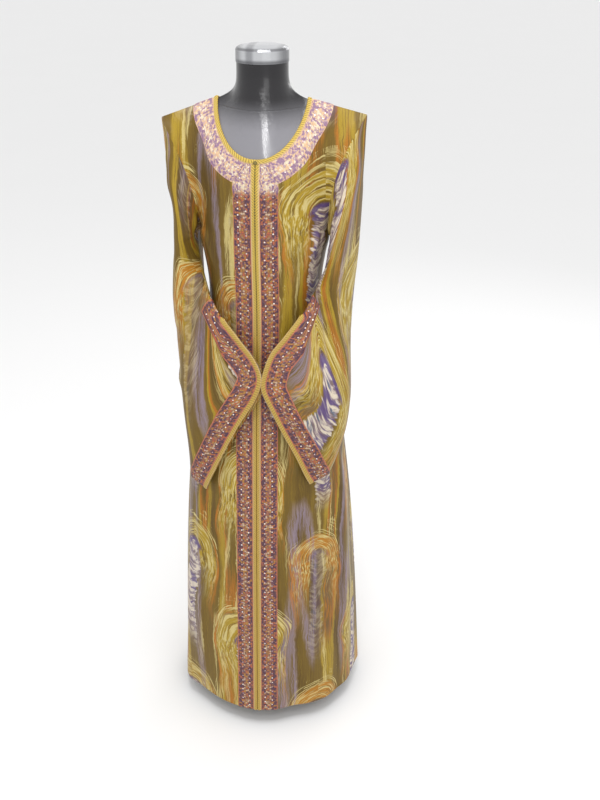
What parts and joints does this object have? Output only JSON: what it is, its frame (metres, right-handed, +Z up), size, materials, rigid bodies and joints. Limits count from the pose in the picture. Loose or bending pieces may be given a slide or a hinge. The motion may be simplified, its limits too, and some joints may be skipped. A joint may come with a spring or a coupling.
{
  "type": "kaftan on dress form",
  "caption": "Long front-opening robe with wide round neck, set-in long sleeves and trimmed edges, hanging on a limbless dress form with a pole and round base.",
  "frame": {"origin": "middle of the stand base's underside, on the floor", "axes": "+Z up, the front opening faces -Y, the wearer's left is +X"},
  "size_m": [0.438, 0.3967, 1.5492],
  "materials": {
    "printed_satin": "satin",
    "embroidered_trim": "matte",
    "yellow_braid": "matte",
    "black_gloss": "gloss",
    "chrome": "polished",
    "dark_metal": "satin"
  },
  "bodies": {
    "root": {"front_left": "printed_satin", "front_right": "printed_satin", "back": "printed_satin", "sleeve_left": "printed_satin", "sleeve_right": "printed_satin", "neck_trim": "embroidered_trim", "placket_trim_left": "embroidered_trim", "placket_trim_right": "embroidered_trim", "cuff_trim_left": "embroidered_trim", "cuff_trim_right": "embroidered_trim", "neck_braid": "yellow_braid", "placket_braid_left": "yellow_braid", "placket_braid_right": "yellow_braid", "cuff_braid_left": "yellow_braid", "cuff_braid_right": "yellow_braid", "form_torso": "black_gloss", "form_neck_cap": "chrome", "stand_pole": "dark_metal", "stand_base": "dark_metal"}
  },
  "joints": []
}
